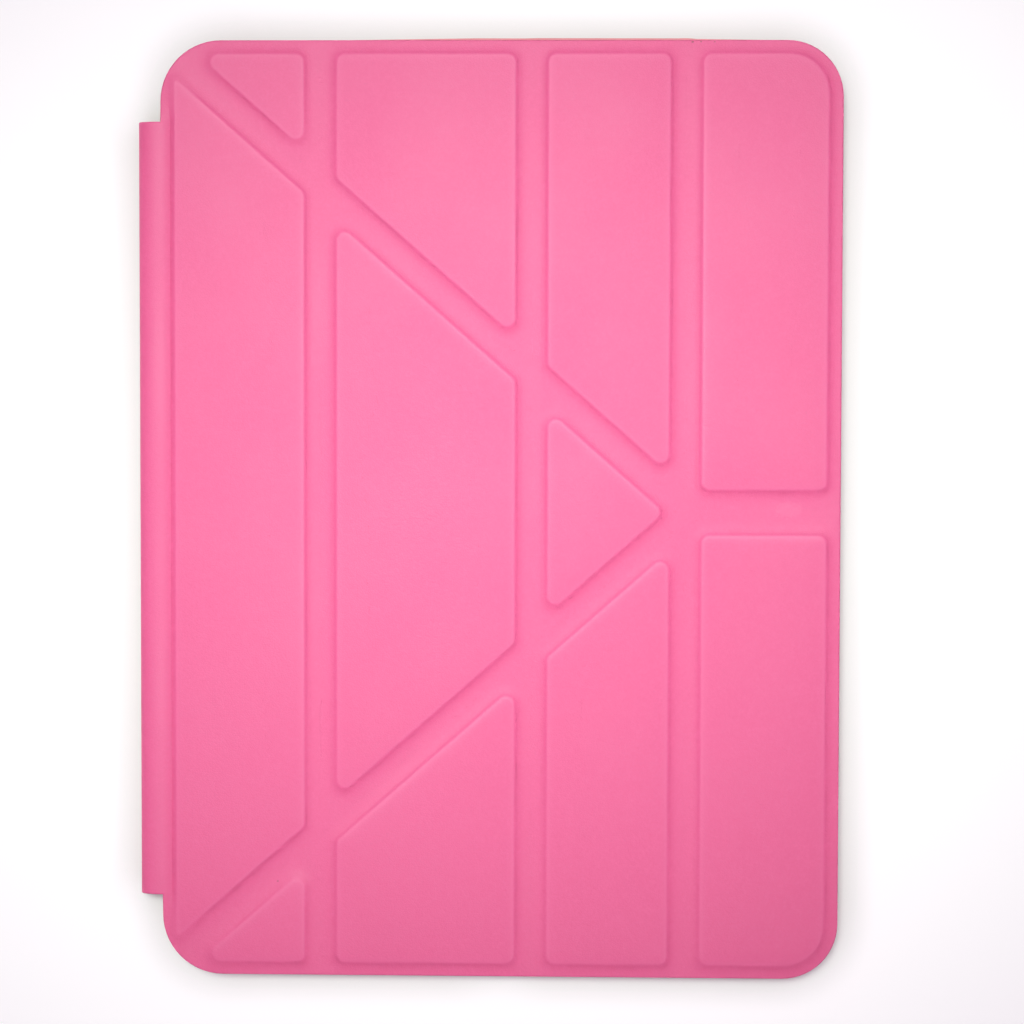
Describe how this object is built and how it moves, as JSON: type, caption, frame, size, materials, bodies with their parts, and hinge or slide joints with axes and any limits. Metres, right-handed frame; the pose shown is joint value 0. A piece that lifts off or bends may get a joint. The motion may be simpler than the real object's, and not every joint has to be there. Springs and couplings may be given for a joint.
{
  "type": "folio tablet case",
  "caption": "Folio case for an eleven-inch tablet: rigid tray, rounded spine and a creased leather cover with raised board panels.",
  "frame": {"origin": "under the middle of the closed case, on the surface that it lies on", "axes": "+X from the spine to the free edge, +Y along the long side towards the camera window, +Z out of the front cover"},
  "size_m": [0.189, 0.252, 0.012],
  "materials": {
    "leather_pink": "satin, fine grain",
    "lining_salmon": "short-pile microfibre",
    "tray_pink": "fine moulded texture",
    "button_pink": "satin",
    "ring_pink": "gloss",
    "board_grey": "pressed fibreboard",
    "strip_white": "matt",
    "steel": "nickel plated"
  },
  "bodies": {
    "tray": {"frame_left": "tray_pink", "frame_right": "tray_pink", "frame_top": "tray_pink", "frame_bottom": "tray_pink", "corner_top_left": "tray_pink", "corner_top_right": "tray_pink", "corner_bottom_left": "tray_pink", "corner_bottom_right": "tray_pink", "tray_plate": "tray_pink", "back_skin": "leather_pink", "tray_lining": "lining_salmon", "camera_ring": "ring_pink"},
    "spine": {"spine_skin": "leather_pink", "spine_strip": "strip_white", "spine_lining": "lining_salmon"},
    "column_1": {"cover_skin_1": "leather_pink", "cover_lining_1": "lining_salmon", "board_1_top": "board_grey", "board_1_centre": "board_grey", "board_1_bottom": "board_grey", "steel_plate_top": "steel", "steel_plate_bottom": "steel"},
    "column_2": {"cover_skin_2": "leather_pink", "cover_lining_2": "lining_salmon", "board_2_top": "board_grey", "board_2_centre": "board_grey", "board_2_bottom": "board_grey"},
    "column_3": {"cover_skin_3": "leather_pink", "cover_lining_3": "lining_salmon", "board_3_top": "board_grey", "board_3_centre": "board_grey", "board_3_bottom": "board_grey"},
    "column_4": {"cover_skin_4": "leather_pink", "cover_lining_4": "lining_salmon", "board_4_top": "board_grey", "board_4_bottom": "board_grey", "edge_magnet_1": "steel", "edge_magnet_2": "steel", "edge_magnet_3": "steel", "edge_magnet_4": "steel", "sleep_magnet": "steel"},
    "power_button": {"power_button": "button_pink"},
    "volume_up_button": {"volume_up_button": "button_pink"},
    "volume_down_button": {"volume_down_button": "button_pink"}
  },
  "joints": [
    {"name": "spine_swing", "type": "hinge", "parent": "tray", "child": "spine", "pos_m": [-0.0881, 0, -0.0001], "axis": [0, 1, 0], "range_deg": [-180, 0]},
    {"name": "cover_swing", "type": "hinge", "parent": "spine", "child": "column_1", "pos_m": [-0.0881, 0, 0.0121], "axis": [0, 1, 0], "range_deg": [-180, 0]},
    {"name": "fold_1", "type": "hinge", "parent": "column_1", "child": "column_2", "pos_m": [-0.0451, 0, 0.0121], "axis": [0, -1, 0], "range_deg": [0, 180]},
    {"name": "fold_2", "type": "hinge", "parent": "column_2", "child": "column_3", "pos_m": [0.0116, 0, 0.0121], "axis": [0, 1, 0], "range_deg": [-180, 0]},
    {"name": "fold_3", "type": "hinge", "parent": "column_3", "child": "column_4", "pos_m": [0.0529, 0, 0.0121], "axis": [0, -1, 0], "range_deg": [0, 180]},
    {"name": "power_button_press", "type": "slide", "parent": "tray", "child": "power_button", "axis": [0, -1, 0], "range_m": [0, 0.00045], "stiffness_N_per_m": 900},
    {"name": "volume_up_button_press", "type": "slide", "parent": "tray", "child": "volume_up_button", "axis": [-1, 0, 0], "range_m": [0, 0.00045], "stiffness_N_per_m": 900},
    {"name": "volume_down_button_press", "type": "slide", "parent": "tray", "child": "volume_down_button", "axis": [-1, 0, 0], "range_m": [0, 0.00045], "stiffness_N_per_m": 900}
  ]
}
